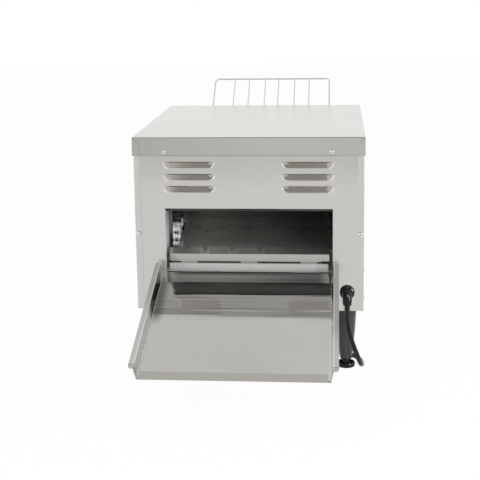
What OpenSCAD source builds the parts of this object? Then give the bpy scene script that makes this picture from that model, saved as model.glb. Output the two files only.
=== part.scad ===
// Countertop conveyor toaster with a wire feed rack at the front and a catch tray at the rear.
// Millimetres. +Z up, the feed side faces -Y, the toast comes out towards +Y.
// Origin: middle of the whole machine, on the surface that its feet stand on.

/* [Body] */
// Width of the lid, the widest part of the body
lid_w = 368; // [364:1:400]
// Depth of the lid, front to back
lid_d = 418; // [412:1:460]
// Height of the lid's turned-down flange
lid_flange = 30; // [24:1:34]
// Thickness of the sheet metal
sheet = 1; // [0.8:0.1:1.2]
// Gap between the lid and the panels that it slips over
lid_gap = 0.2; // [0.1:0.1:0.5]
// Outer radius of the folded edges
bend_r = 1.6; // [1.4:0.1:2.5]
// Width of the side panels' folded edges at the front and the rear
wrap_w = 10.5; // [8:0.5:14]
// Radius of the rolled bead along the lid's lower edges
bead_r = 0.9; // [0.8:0.1:1.5]
// Height of the body's underside above the surface
leg_h = 105; // [95:1:130]
// Height of the base compartment, from the underside to the chamber floor
base_h = 61; // [60:1:70]
// Free height between the inner roof and the lid
head_room = 24.9; // [16:0.1:40]

/* [Rear openings] */
// Distance from the lid's side to the discharge opening
opening_side = 50.5; // [48:0.5:59]
// Height of the discharge opening
opening_h = 106; // [96:1:112]
// Length of one louvre
louvre_w = 82; // [60:1:90]
// Height of one louvre
louvre_h = 11; // [9:0.5:14]
// How far a louvre stands proud of the panel
louvre_proud = 4; // [3:0.5:5]
// Distance from one louvre to the next
louvre_pitch = 19.5; // [18:0.5:21]
// Number of louvres in a column
louvre_rows = 3; // [1:1:3]
// Distance of a louvre's middle from the body's middle
louvre_x = 94; // [80:1:110]
// Distance from the lid's flange to the highest louvre
louvre_drop = 10; // [6:1:12]

/* [Chamber] */
// Clear width between the chamber's side walls
chamber_w = 276; // [274:1:284]
// Height of the chamber's side walls
chamber_h = 194; // [190:1:204]
// Width of the walls' folded flanges
wall_flange = 10; // [6:1:14]
// Distance from the rear panel's face to the rear guide
guide_back = 14; // [12:1:18]
// Height of the guide's vertical part
guide_h = 7; // [6:1:10]
// Distance from the rear panel's face to the sill
sill_back = 12; // [10:1:14]
// Width of the sill and of the chute
chute_w = 260; // [250:1:264]
// Height of the sill above the chamber floor
sill_h = 12; // [8:1:14]
// Sideways place of the sill and the chute
chute_x = 2; // [0:0.5:3]

/* [Toast chute] */
// Slope of the chute
chute_slope = 24; // [20:1:26]
// Length of the sloping plate
chute_len = 196; // [160:1:200]
// Distance from the rear panel's face to the chute's lower end
chute_back = 20; // [18:1:24]
// Height of the chute's lower end above the chamber floor
chute_rise = 26.5; // [22:0.5:30]
// Height of the turned-down lip at the chute's lower end
chute_lip = 11; // [8:0.5:13]
// Width of each of the three tabs that stand on the floor
chute_tab = 27; // [16:1:40]
// Distance between the tabs
chute_tab_pitch = 97; // [80:1:105]

/* [Conveyor] */
// Sideways place of the belt and of the feed rack
conveyor_x = -8.5; // [-9:0.5:-6]
// Width of the wire belt
belt_w = 236; // [220:2:238]
// Distance between the belt's wires
belt_pitch = 12; // [11:0.5:12.5]
// Width and thickness of the belt's wire
belt_wire = 2; // [1.6:0.1:2.2]
// Number of link columns across the belt
belt_links = 5; // [3:1:5]
// Distance from the rear panel's face to the drive shaft
drive_back = 78; // [76:1:84]
// Diameter of the conveyor shafts
shaft_d = 10; // [8:0.5:11]
// Radial running clearance of shafts in their bushings
run_gap = 0.05; // [0.02:0.01:0.1]
// Number of teeth on every sprocket
sprocket_teeth = 8; // [8:4:8]
// Pitch of the drive chain
chain_pitch = 12.7; // [12.7:0.1:12.9]
// Number of chain pitches between the motor and the drive shaft
chain_rows = 13; // [13:1:13]
// Diameter of the chain's rollers
roller_d = 8; // [7:0.5:8.5]
// Height of the chain's link plates
link_h = 10.6; // [9:0.2:11]
// Distance from the chamber's wall to the chain's middle
chain_side = 13; // [12:0.5:15]
// Distance from the front panel to the belt's front end
belt_nose = 18; // [16:1:24]

/* [Heating] */
// Diameter of the quartz tubes
element_d = 9; // [8:0.5:9.5]
// Number of tubes above and below the belt
element_count = 3; // [2:1:3]
// Distance from each conveyor shaft to the nearest tube
element_inset = 72; // [64:1:76]
// Free height over the belt for the bread
bread_gap = 27; // [24:0.5:28]

/* [Feed side] */
// Height of the feed opening
feed_h = 33; // [24:1:34]
// Height of the feed opening's edge above the belt
feed_step = 4; // [2:0.5:5]
// Distance between the rack's side wires
rack_w = 232; // [228:1:240]
// Length of the sloping rack
rack_len = 150; // [120:1:180]
// Slope of the rack
rack_slope = 37.5; // [32:0.5:42]
// Diameter of the rack's frame wire
rack_wire = 3.2; // [3:0.1:4.5]
// Diameter of the rack's inner wires
rack_inner = 2.4; // [2:0.1:3]
// Corner radius of the rack's frame
rack_corner = 9; // [7:1:14]
// Distance of the rack's legs from the front panel
rack_stand = 8; // [7:0.5:10]
// Length of the legs that stand in the brackets
rack_leg = 34; // [30:1:38]

/* [Catch tray] */
// Room at each side of the tray's floor, as far as the lid's side
tray_side = 48; // [47:0.5:50]
// Length of the tray's floor
tray_len = 275; // [240:1:300]
// Slope of the tray
tray_slope = 17.3; // [14:0.1:18]
// Height of the tray's side walls
tray_wall = 19; // [14:1:22]
// How far the side walls lean out at the top
tray_flare = 3.3; // [2:0.1:4]
// Width of the lips on the side walls
tray_lip = 7.2; // [5:0.1:7.5]
// Height of the lip at the tray's outer end
tray_end = 13; // [10:1:18]
// Sideways place of the tray
tray_x = 3.5; // [2:0.5:4]
// Height of the flange that leans on the rear panel
tray_back = 24; // [18:1:28]
// Width of each of the two hooks
hook_w = 30; // [20:1:40]
// Distance between the hooks
hook_pitch = 180; // [150:1:200]
// Depth of the hooks behind the panel
hook_h = 12; // [8:1:16]

/* [Crumb tray] */
// Height of the crumb tray's walls
crumb_h = 12; // [8:1:14]
// Distance from the rear panel's face to the crumb tray's rear wall
crumb_back = 112; // [110:1:130]
// Width of the crumb tray's pull
pull_w = 120; // [80:1:160]

/* [Legs] */
// Diameter of a leg at the top
leg_d = 33.4; // [30:0.2:36]
// Distance from the body's side to a leg's axis
leg_side = 27.3; // [24:0.1:32]
// Distance from the body's front or rear to a leg's axis
leg_back = 35; // [28:1:45]
// Diameter of a foot
foot_d = 30; // [26:1:34]
// Height of a foot's rim
foot_h = 7; // [6:0.5:9]
// Diameter of the foot's screw stem
stem_d = 8; // [6:0.5:9]
// Travel of the foot's screw
foot_travel = 12; // [8:1:15]

/* [Controls] */
// Diameter of the knobs
knob_d = 34; // [30:1:38]
// Height of the knobs
knob_h = 17; // [14:1:20]
// Distance of each knob from the body's middle
knob_x = 110; // [90:1:125]
// Diameter of the knobs' shafts
control_d = 6; // [5:0.5:6.5]

/* [Cord] */
// Diameter of the mains cord
cord_d = 8; // [7:0.1:8.5]
// Diameter of the gland's flange
gland_d = 24; // [22:1:25]
// Height of the gland's axis above the body's underside
gland_rise = 31; // [28:0.1:40]
// Distance of the cord's way down from the rear panel's face
cord_stand = 16.5; // [15:0.5:18]

/* [Hidden] */
$fn = 48;
FINE = 0.01;
LEAN = 0.05;
FIT = 0.1;
SEAT = 0.3;

// widths and depths of the body's shells
body_w = lid_w - 2 * (sheet + lid_gap);
body_d = lid_d - 2 * (sheet + lid_gap);
half_w = body_w / 2;
inner_x = half_w - sheet;
wall_x = chamber_w / 2;
opening_w = lid_w - 2 * opening_side;
tray_w = lid_w - 2 * tray_side;

// sprockets and their loops: N teeth at pitch p have their rollers on this radius
function pitch_r(p) = p / 2 / sin(180 / sprocket_teeth);
chain_r = pitch_r(chain_pitch);
belt_r = pitch_r(belt_pitch);

// heights, stacked from the surface up
floor_z = leg_h + base_h;
motor_z = leg_h + base_h / 2;
drive_z = motor_z + chain_rows * chain_pitch;
belt_top = drive_z + belt_r + belt_wire / 2;
upper_z = belt_top + bread_gap + element_d / 2;
lower_z = drive_z - 3.5;
roof_z = floor_z + chamber_h;
lid_z = roof_z + sheet + head_room + sheet;
flange_z = lid_z - lid_flange;
shell_top = lid_z - sheet;
panel_top = lid_z - bend_r;
opening_top = floor_z + opening_h;
feed_z = belt_top + feed_step;

// the rack and the tray reach out at the front and the rear: the origin is midway
rack_rise = rack_len * sin(rack_slope);
rack_reach = rack_stand + rack_len * cos(rack_slope) + rack_wire / 2;
tray_reach = SEAT + tray_len * cos(tray_slope) + tray_end * sin(tray_slope);
rear_y = (rack_reach + body_d - tray_reach) / 2;
front_y = rear_y - body_d;
rear_in = rear_y - sheet;
mid_y = rear_y - body_d / 2;
front_in = front_y + sheet;
// the panels' wings lie behind the side panels' folded edges
rear_wing = rear_in - sheet;
front_wing = front_in + sheet;

// conveyor
drive_y = rear_y - drive_back;
belt_front = body_d - drive_back - belt_r - belt_nose;
belt_run = floor(belt_front / belt_pitch);
idler_y = drive_y - belt_run * belt_pitch;
link_step = belt_w / belt_links;
link_half = 6;
sprocket_places = [for (i = [1 : belt_links - 1]) conveyor_x - belt_w / 2 + i * link_step];
sprocket_t = 5.6;
hub_r = shaft_d / 2 + 4;
shaft_out = wall_x + 11;
chain_x = wall_x - chain_side;
bush_r = shaft_d / 2 + 3;
chain_half = 6.5;
chute_z = floor_z + chute_rise;

// catch tray
tray_z = floor_z + SEAT + sheet;

// rack
rack_z = feed_z + 13;
leg_x = [conveyor_x - rack_w / 2, conveyor_x + rack_w / 2];
feed_x = [leg_x[0] + 4, leg_x[1] - 4];
bracket_z = rack_z - rack_leg;
bracket_h = 14;
wire_places = [-75.5, -46, -13.5, 13.5, 46, 75.5];

// crumb tray
crumb_x = wall_x - 0.6;
crumb_z = floor_z + SEAT;

// legs and feet
leg_places = [for (x = [-1, 1], y = [front_y + leg_back, rear_y - leg_back]) [x * (half_w - leg_side), y]];
hub_z = foot_h + 5;
leg_z = hub_z + SEAT;
stem_z = leg_z + 34;

// cord and gland
gland_x = tray_x - tray_w / 2 - tray_flare - tray_lip - gland_d / 2 - 1.5;
gland_z = leg_h + gland_rise;
boot_z = gland_z - 16;
boot_bend = cord_stand - 5;
// the cord's way from the boot to the coil: points from the rear panel's face, on the surface's level
cord_route = [
    [gland_x, cord_stand, boot_z], [-156.5, 16.5, 108], [-157, 16.5, 96], [-158.5, 16.5, 84],
    [-162, 16, 68], [-166.5, 14, 52], [-171.5, 10, 38], [-176, 3, 24],
    [-180, -8, 13], [-182, -23, 7.5], [-181.5, -40, 4.8], [-177, -58, 4.2],
    [-167, -73, 4.2], [-152, -84, 4.2], [-134, -91, 4.2], [-115, -96, 4.2],
    [-95, -100, 4.4], [-77, -101.5, 4.7], [-60, -102, 5]];
coil_x = -60;
coil_back = 150;
coil_r = 44;
coil_h = 2 * cord_d;
tail_route = [[-12, -150, 13], [-11, -168, 11.5], [-12, -186, 8], [-16, -202, 5.5], [-22, -217, 5.2]];
plug_r = 18.5;
plug_len = 56;
plug_rim = 33;
plug_end_r = 6;

// ---------- helpers ----------

// a box from its low corner to its high corner
module block(low, high) {
    translate(low) cube(high - low);
}

// a (y, z) outline drawn out along X
module along_x(x0, x1) {
    translate([x0, 0, 0]) rotate([90, 0, 90]) linear_extrude(x1 - x0) children();
}

// an (x, z) outline drawn out along Y
module along_y(y0, y1) {
    translate([0, y1, 0]) rotate([90, 0, 0]) linear_extrude(y1 - y0) children();
}

// a rod along X through (y, z)
module rod_x(x0, x1, y, z, r) {
    translate([x0, y, z]) rotate([0, 90, 0]) cylinder(r = r, h = x1 - x0);
}

// a rod along Y through (x, z)
module rod_y(y0, y1, x, z, r) {
    translate([x, y1, z]) rotate([90, 0, 0]) cylinder(r = r, h = y1 - y0);
}

module mirrored_x() {
    children();
    mirror([1, 0, 0]) children();
}

// a rectangle about the origin with round corners
module round_rect(w, h, r) {
    square([w - 2 * r, h], center = true);
    square([w, h - 2 * r], center = true);
    for (x = [-1, 1], y = [-1, 1]) translate([x * (w / 2 - r), y * (h / 2 - r)]) circle(r);
}

// a slot of length l from end to end and width w, along its first axis
module slot(l, w) {
    square([l - w, w], center = true);
    for (x = [-1, 1]) translate([x * (l - w) / 2, 0]) circle(w / 2);
}

// a wall outline from z0 up to z1 with round top corners, centred on the second axis
module capped(w, z0, z1, r) {
    translate([-w / 2, z0]) square([w, z1 - r - z0]);
    translate([r - w / 2, z1 - r - FINE]) square([w - 2 * r, r + FINE]);
    for (x = [-1, 1]) translate([x * (w / 2 - r), z1 - r]) circle(r);
}

// a pan-head screw whose head stands on z = 0 and whose shank runs down, with a cross recess
module screw(shank) {
    head_r = 3.4;
    rise = 1.3;
    difference() {
        rotate_extrude() polygon(concat([[0, -shank], [1.9, -shank], [1.9, 0], [head_r, 0], [head_r, 0.9]],
            [for (a = [15 : 15 : 75]) [head_r - rise * (1 - cos(a)), 0.9 + rise * sin(a)]],
            [[0, 0.9 + rise]]));
        for (a = [45, 135]) rotate(a) block([-1.9, -0.4, 0.8], [1.9, 0.4, 3]);
    }
}

// the pins of a loop of chain or belt: run pitches between two sprockets, from the first
// sprocket at the origin to the second along +u
function loop_pins(p, run) = let(r = pitch_r(p), n = sprocket_teeth, c = run * p) concat(
    [for (k = [0 : run - 1]) [k * p, r]],
    [for (j = [0 : n / 2 - 1]) [c + r * sin(j * 360 / n), r * cos(j * 360 / n)]],
    [for (k = [0 : run - 1]) [c - k * p, -r]],
    [for (j = [0 : n / 2 - 1]) [-r * sin(j * 360 / n), -r * cos(j * 360 / n)]]);

// sprocket outline: seats for the rollers, and teeth bounded by arcs about the neighbour seats
module sprocket_outline(p, roller_r, tip) {
    r = pitch_r(p);
    step = 360 / sprocket_teeth;
    difference() {
        union() {
            circle(r - roller_r * 0.4);
            for (i = [0 : sprocket_teeth - 1]) intersection() {
                rotate(i * step) translate([0, r]) circle(p - roller_r);
                rotate((i + 1) * step) translate([0, r]) circle(p - roller_r);
                circle(r + tip);
            }
        }
        for (i = [0 : sprocket_teeth - 1]) rotate(i * step) translate([0, r]) circle(roller_r);
    }
}

// ---------- shells ----------

module lid() color([0.86, 0.86, 0.85]) {
    seam = 0.35;
    seam_x = lid_w / 2 - wrap_w - 0.5;
    difference() {
        union() {
            intersection() {
                along_y(-lid_d, lid_d) capped(lid_w, flange_z, lid_z, bend_r);
                along_x(-lid_w, lid_w) translate([mid_y, 0]) capped(lid_d, flange_z, lid_z, bend_r);
            }
            for (s = [-1, 1])
                rod_x(-seam_x, seam_x, mid_y + s * (lid_d / 2 - bead_r * 0.3), flange_z + bead_r, bead_r);
        }
        intersection() {
            along_y(-lid_d, lid_d) capped(body_w + 2 * lid_gap, flange_z - 1, shell_top, bend_r - sheet);
            along_x(-lid_w, lid_w) translate([mid_y, 0])
                capped(body_d + 2 * lid_gap, flange_z - 1, shell_top, bend_r - sheet);
        }
        // corner seams between the flanges: upright, then mitred to the corner
        for (y = [mid_y - lid_d / 2, mid_y + lid_d / 2]) mirrored_x() along_y(y - 1.5, y + 1.5)
            polygon([[seam_x, flange_z - 1], [seam_x + seam, flange_z - 1],
                [seam_x + seam, lid_z - lid_w / 2 + seam_x], [lid_w / 2 - bend_r, lid_z - bend_r - seam],
                [lid_w / 2 - bend_r, lid_z - bend_r], [seam_x, lid_z - lid_w / 2 + seam_x]]);
        for (x = [-1, 1]) rod_y(front_y - 9, rear_y + 9, x * lid_screw_x, lid_screw_z, 2.1);
    }
}
lid_screw_x = opening_w / 2 - 1.5;
lid_screw_z = flange_z + 6.5;

// a side panel with its folded front and rear edges
module side_panel() {
    difference() {
        translate([0, mid_y, leg_h]) linear_extrude(panel_top - leg_h) difference() {
            round_rect(body_w, body_d, bend_r);
            round_rect(body_w - 2 * sheet, body_d - 2 * sheet, bend_r - sheet);
            translate([-lid_w, 0]) square([2 * (lid_w + half_w - wrap_w), lid_d], center = true);
        }
        rod_y(front_y - 9, rear_y + 9, wrap_screw_x, wrap_screw_z, 2.1);
        for (p = side_screw_places) rod_x(0, lid_w, p.x, p.y, 2);
    }
}
wrap_screw_x = half_w - wrap_w / 2;
wrap_screw_z = floor_z + 65;
side_screw_places = [for (y = [front_y + 50, rear_y - 50], z = [leg_h + 8, floor_z - 7]) [y, z]];

module left_side_panel() color([0.74, 0.74, 0.73]) mirror([1, 0, 0]) side_panel();
module right_side_panel() color([0.74, 0.74, 0.73]) side_panel();

// a louvre's hood, moved in by back: a roof that slopes down from its open upper edge to a fillet on
// the panel, with conical ends
module louvre_form(back) {
    reach = louvre_w / 2 - louvre_h;
    profile = [[0, -2 * sheet], [0, louvre_proud], [louvre_h * 0.7, louvre_proud * 0.28],
        [louvre_h * 0.86, louvre_proud * 0.09], [louvre_h, 0], [louvre_h, -2 * sheet]];
    translate([0, -back, 0]) {
        along_x(-reach, reach) polygon([for (p = profile) [p.y, -p.x]]);
        for (s = [-1, 1]) translate([s * reach, 0, 0]) rotate([-90, 0, 0]) rotate_extrude() polygon(profile);
    }
}

// a panel whose outer face is at y = 0, for the rear. Its two wings are joggled in and lean on the
// side panels' folded edges.
module panel_plate() {
    edge = half_w - wrap_w - SEAT;
    joggle = 2;
    block([-edge, -sheet, leg_h], [edge, 0, panel_top]);
    mirrored_x() {
        block([edge - joggle, -2 * sheet, leg_h + 2], [edge, -sheet / 2, panel_top - 2]);
        block([edge - joggle, -2 * sheet, leg_h + 2], [inner_x - FIT, -sheet - LEAN, panel_top - 2]);
    }
}

module rear_panel() color([0.75, 0.75, 0.74]) {
    places = [for (x = [-1, 1], i = [0 : louvre_rows - 1])
        [x * louvre_x, rear_y, flange_z - louvre_drop - i * louvre_pitch]];
    difference() {
        union() {
            translate([0, rear_y, 0]) panel_plate();
            for (p = places) translate(p) intersection() {
                louvre_form(0);
                block([-louvre_w, -sheet, -louvre_h * 2], [louvre_w, 9, 0]);
            }
        }
        for (p = places) translate(p) intersection() {
            louvre_form(sheet * 0.9);
            block([-louvre_w, -9, -louvre_h * 2], [louvre_w, 9, FINE]);
        }
        block([-opening_w / 2, rear_y - 9, floor_z], [opening_w / 2, rear_y + 9, opening_top]);
        mirrored_x() {
            rod_y(rear_y - 9, rear_y + 9, lid_screw_x, lid_screw_z, 2);
            rod_y(rear_y - 9, rear_y + 9, wrap_screw_x, wrap_screw_z, 2);
        }
        rod_y(rear_y - 9, rear_y + 9, gland_x, gland_z, gland_d * 0.35);
    }
}

module front_panel() color([0.75, 0.75, 0.74]) {
    difference() {
        union() {
            translate([0, front_y, 0]) mirror([0, 1, 0]) panel_plate();
            // apron that leads the bread from the opening's edge towards the belt
            along_x(feed_x[0] + 1, feed_x[1] - 1) polygon([[front_in - sheet / 2, feed_z],
                [front_in - sheet / 2, feed_z - sheet], [front_in + 12, feed_z - sheet - 2],
                [front_in + 12, feed_z - 2]]);
        }
        block([feed_x[0], front_y - 9, feed_z], [feed_x[1], front_y + 9, feed_z + feed_h]);
        block([-crumb_x - 0.5, front_y - 9, floor_z - 0.5],
            [crumb_x + 0.5, front_y + 9, crumb_z + crumb_h + 1]);
        mirrored_x() {
            rod_y(front_y - 9, front_y + 9, lid_screw_x, lid_screw_z, 2);
            rod_y(front_y - 9, front_y + 9, wrap_screw_x, wrap_screw_z, 2);
            rod_y(front_y - 9, front_y + 9, knob_x, motor_z, 5);
        }
        for (x = lamp_places) rod_y(front_y - 9, front_y + 9, x, motor_z, 4.6);
        for (x = leg_x) rod_y(front_y - 9, front_y + 9, x, bracket_z + bracket_h / 2, 2);
    }
}
lamp_places = [-14, 14];

// a shallow pan that closes the underside, with vents and holes for the legs
module base_pan() color([0.7, 0.7, 0.69]) {
    x = inner_x - FIT;
    y0 = front_wing + FIT;
    y1 = rear_wing - FIT;
    pan_h = 15;
    vent_inset = 80;
    vent_rows = [y0 + leg_back + vent_inset, y1 - leg_back - vent_inset];
    vent_pitch = 18;
    difference() {
        block([-x, y0, leg_h], [x, y1, leg_h + pan_h]);
        block([sheet - x, y0 + sheet, leg_h + sheet], [x - sheet, y1 - sheet, leg_h + pan_h + 1]);
        for (p = leg_places) translate([p.x, p.y, leg_h - 1]) cylinder(r = 5.2, h = 3);
        for (i = [-4 : 4], y = vent_rows) translate([i * vent_pitch, y, leg_h - 1])
            rotate(90) linear_extrude(3) slot(40, 5);
        mirrored_x() for (p = side_screw_places) rod_x(x - 3, x + 3, p.x, p.y, 2);
        for (y = motor_screw_places) translate([bracket_x + bracket_hole, y, leg_h - 1])
            cylinder(r = 2, h = 3);
    }
}

// the shelf between the base and the chamber, with the sill that the chute hooks behind
module chamber_floor() color([0.72, 0.72, 0.7]) {
    x = inner_x - FIT;
    y0 = front_wing + FIT;
    y1 = rear_y - sill_back;
    difference() {
        union() {
            block([-x, y0, floor_z - sheet], [x, y1, floor_z]);
            mirrored_x() block([x - sheet, y0, floor_z - 14], [x, y1, floor_z]);
            block([chute_x + 1.5 - chute_w / 2, y1 - sheet, floor_z - sheet],
                [chute_x - 1.5 + chute_w / 2, y1, floor_z + sill_h]);
        }
        chain_slot(floor_z - 9, floor_z + 9);
        mirrored_x() for (p = side_screw_places) rod_x(x - 3, x + 3, p.x, p.y, 2);
    }
}

// the room that the drive chain needs beside the chamber's wall, from z0 to z1, open further to the rear
// so that a hand reaches the chain
module chain_slot(z0, z1) {
    reach = chain_r + link_h / 2 + 3;
    rear_room = 18;
    block([chain_x - chain_half - 3, drive_y - reach, z0], [wall_x - 1, drive_y + reach + rear_room, z1]);
}

element_pitch = (drive_y - idler_y - 2 * element_inset) / (element_count - 1);
element_places = [for (i = [0 : element_count - 1]) drive_y - element_inset - i * element_pitch];
cap_r = element_d / 2 + 2.3;

module chamber_wall() {
    difference() {
        along_y(front_wing + FIT, rear_wing - FIT) translate([wall_x, 0]) polygon([[0, floor_z],
            [wall_flange, floor_z], [wall_flange, floor_z + sheet], [sheet, floor_z + sheet],
            [sheet, roof_z - sheet], [wall_flange, roof_z - sheet], [wall_flange, roof_z], [0, roof_z]]);
        for (y = [drive_y, idler_y]) rod_x(wall_x - 5, wall_x + 5, y, drive_z, bush_r + FIT);
        for (y = element_places, z = [upper_z, lower_z]) rod_x(wall_x - 5, wall_x + 5, y, z, cap_r + FIT);
    }
}
module left_chamber_wall() color([0.7, 0.7, 0.68]) mirror([1, 0, 0]) chamber_wall();
module right_chamber_wall() color([0.7, 0.7, 0.68]) chamber_wall();

module inner_roof() color([0.7, 0.7, 0.68])
    difference() {
        x = wall_x + wall_flange;
        block([-x, front_wing + FIT, roof_z], [x, rear_wing - 6, roof_z + sheet]);
        for (i = [-3 : 3]) translate([i * 36, rear_wing - 30, roof_z - 1]) linear_extrude(3) slot(24, 6);
    }

// a shallow trough under the lower tubes, inside the belt's loop
module lower_reflector() color([0.8, 0.8, 0.78]) {
    low = drive_z - belt_r + belt_wire / 2 + 1.5;
    past = 22;
    y0 = element_places[element_count - 1] - past;
    y1 = element_places[0] + past;
    along_x(-wall_x, wall_x) polygon([[y0, low + 2.5], [y0, low + 3.3], [y0 + 8, low + 0.8],
        [y1 - 8, low + 0.8], [y1, low + 3.3], [y1, low + 2.5], [y1 - 8, low], [y0 + 8, low]]);
}

// the guide above the opening, which turns the toast down onto the chute
module rear_guide() color([0.6, 0.6, 0.58]) {
    slot_w = 38.5;
    low = opening_top - 6.5;
    y = rear_in - guide_back + sheet;
    bend = low + guide_h;
    rise = 11;
    top = 24;
    difference() {
        along_x(2 - wall_x, wall_x - 2) polygon([[rear_in, bend + top], [rear_in, bend + rise], [y, bend],
            [y, low], [y - sheet, low], [y - sheet, bend + 0.6], [rear_in - sheet, bend + rise + 0.6],
            [rear_in - sheet, bend + top]]);
        for (s = [-1, 1]) block([conveyor_x + s * (slot_w / 2 + 1) - slot_w / 2, y - 5, low + 1.5],
            [conveyor_x + s * (slot_w / 2 + 1) + slot_w / 2, y + 3, low + 4]);
    }
}

// the sloping plate that the toast slides down, with a lip, three standing tabs and a notch for the chain
module toast_chute() color([0.62, 0.62, 0.6]) {
    y = rear_y - chute_back;
    far = [y - chute_len * cos(chute_slope), chute_z + chute_len * sin(chute_slope)];
    difference() {
        union() {
            along_x(chute_x - chute_w / 2, chute_x + chute_w / 2) polygon([[y, chute_z], far,
                far - sheet * [sin(chute_slope), cos(chute_slope)],
                [y - sheet, chute_z + sheet * tan(chute_slope) - sheet / cos(chute_slope)],
                [y - sheet, chute_z - chute_lip], [y, chute_z - chute_lip]]);
            for (i = [-1 : 1]) block([chute_x + i * chute_tab_pitch - chute_tab / 2, y - sheet, floor_z],
                [chute_x + i * chute_tab_pitch + chute_tab / 2, y, chute_z - chute_lip + 1]);
        }
        chain_slot(chute_z, roof_z);
    }
}

// studs on the chamber walls that carry the chute's upper end
module chute_pins() color([0.6, 0.6, 0.6]) {
    s = chute_len - 8;
    drop = sheet + 3 + FIT;
    y = rear_y - chute_back - s * cos(chute_slope) - drop * sin(chute_slope);
    z = chute_z + s * sin(chute_slope) - drop * cos(chute_slope);
    rod_x(-wall_x, 14 - wall_x, y, z, 3);
    rod_x(wall_x - 14, wall_x, y, z, 3);
}

// ---------- conveyor ----------

// two cross bars inside the belt's loop with the strips that the belt's upper run slides over
module belt_supports() color([0.66, 0.66, 0.65]) {
    strip_top = drive_z + belt_r - belt_wire / 2 - SEAT;
    bar_z = lower_z + element_d / 2 + 1;
    ends = [element_places[element_count - 1] - 34, element_places[0] + 34];
    for (y = ends) block([-wall_x, y - 4, bar_z], [wall_x, y + 4, bar_z + 4]);
    for (i = [-1 : 1]) block([conveyor_x + (i + 0.5) * link_step - 1, ends[0] - 10, bar_z + 3.5],
        [conveyor_x + (i + 0.5) * link_step + 1, ends[1] + 10, strip_top]);
}

// flanged bushing in a chamber wall, open along X
module bushing() {
    body = 6;
    flange = 4;
    rotate([0, 90, 0]) difference() {
        union() {
            translate([0, 0, wall_x - 1]) cylinder(r = bush_r, h = body);
            translate([0, 0, wall_x + sheet]) cylinder(r = bush_r + flange, h = flange);
        }
        translate([0, 0, wall_x - 2]) cylinder(r = shaft_d / 2 + run_gap, h = 2 * body);
    }
}
module shaft_bushings() color([0.72, 0.55, 0.3])
    for (y = [drive_y, idler_y]) translate([0, y, drive_z]) mirrored_x() bushing();

// one wire of the belt: a square wave whose short bars reach back to the next wire
module belt_strand() {
    h = belt_wire / 2;
    reach = belt_pitch - 2 * h - 0.8;
    x0 = conveyor_x - belt_w / 2;
    mids = [for (i = [0 : belt_links - 1]) x0 + (i + 0.5) * link_step];
    n = belt_links - 1;
    translate([0, 0, -h]) linear_extrude(belt_wire) polygon(concat(
        [[x0, -h], [x0, h]],
        [for (m = mids) each [[m - link_half - h, h], [m - link_half - h, reach + h],
            [m + link_half + h, reach + h], [m + link_half + h, h]]],
        [[x0 + belt_w, h], [x0 + belt_w, -h]],
        [for (i = [0 : n]) each let(m = mids[n - i]) [[m + link_half - h, -h], [m + link_half - h, reach - h],
            [m - link_half + h, reach - h], [m - link_half + h, -h]]]));
}

// the belt: wires hooked end to end round the two shafts
module conveyor_belt() color([0.7, 0.68, 0.64]) {
    pins = loop_pins(belt_pitch, belt_run);
    translate([0, drive_y, drive_z]) for (i = [0 : len(pins) - 1]) {
        a = pins[i];
        b = pins[(i + 1) % len(pins)];
        translate([0, -a.x, a.y]) rotate([180 - atan2(b.y - a.y, b.x - a.x), 0, 0]) belt_strand();
    }
}

module shaft(y) {
    difference() {
        rod_x(-shaft_out, shaft_out, y, drive_z, shaft_d / 2);
        for (s = [-1, 1]) translate([s * (shaft_out - 3), y, drive_z]) rotate([0, 90, 0]) difference() {
            cylinder(r = shaft_d, h = 1.2, center = true);
            cylinder(r = shaft_d / 2 - 0.8, h = 2, center = true);
        }
    }
}

// retaining rings that sit in the shaft's grooves
module shaft_clips(y) {
    for (s = [-1, 1]) translate([s * (shaft_out - 3), y, drive_z]) rotate([0, 90, 0]) difference() {
        cylinder(r = shaft_d / 2 + 2.5, h = 1, center = true);
        cylinder(r = shaft_d / 2 - 0.7, h = 2, center = true);
    }
}

module belt_sprockets(y) {
    for (x = sprocket_places) translate([x, y, drive_z]) rotate([90, 0, 90]) difference() {
        union() {
            linear_extrude(3, center = true) sprocket_outline(belt_pitch, belt_wire * 0.8, 2);
            cylinder(r = hub_r, h = 9, center = true);
        }
        cylinder(r = shaft_d / 2 + 0.02, h = 20, center = true);
    }
}

module chain_sprocket(z, bore_r) {
    translate([chain_x, drive_y, z]) rotate([90, 0, 90]) difference() {
        union() {
            linear_extrude(sprocket_t, center = true) sprocket_outline(chain_pitch, roller_d / 2 + 0.15, 2.6);
            translate([0, 0, -chain_half - 3]) cylinder(r = bore_r + 3.8, h = chain_half + 3);
        }
        cylinder(r = bore_r, h = 40, center = true);
    }
}

module drive_shaft() color("gray") shaft(drive_y);
module drive_belt_sprockets() color([0.55, 0.55, 0.55]) belt_sprockets(drive_y);
module drive_chain_sprocket() color([0.5, 0.5, 0.5]) chain_sprocket(drive_z, shaft_d / 2 + 0.02);
module drive_shaft_clips() color([0.3, 0.3, 0.3]) shaft_clips(drive_y);
module idler_shaft() color("gray") shaft(idler_y);
module idler_belt_sprockets() color([0.55, 0.55, 0.55]) belt_sprockets(idler_y);
module idler_shaft_clips() color([0.3, 0.3, 0.3]) shaft_clips(idler_y);

// one side plate of a chain link, from the pin at the origin to the next pin along +u
module link_plate(x, t) {
    translate([0, 0, x]) linear_extrude(t) {
        for (u = [0, chain_pitch]) translate([u, 0]) circle(link_h / 2);
        translate([0, -link_h * 0.42]) square([chain_pitch, link_h * 0.84]);
    }
}

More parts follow.
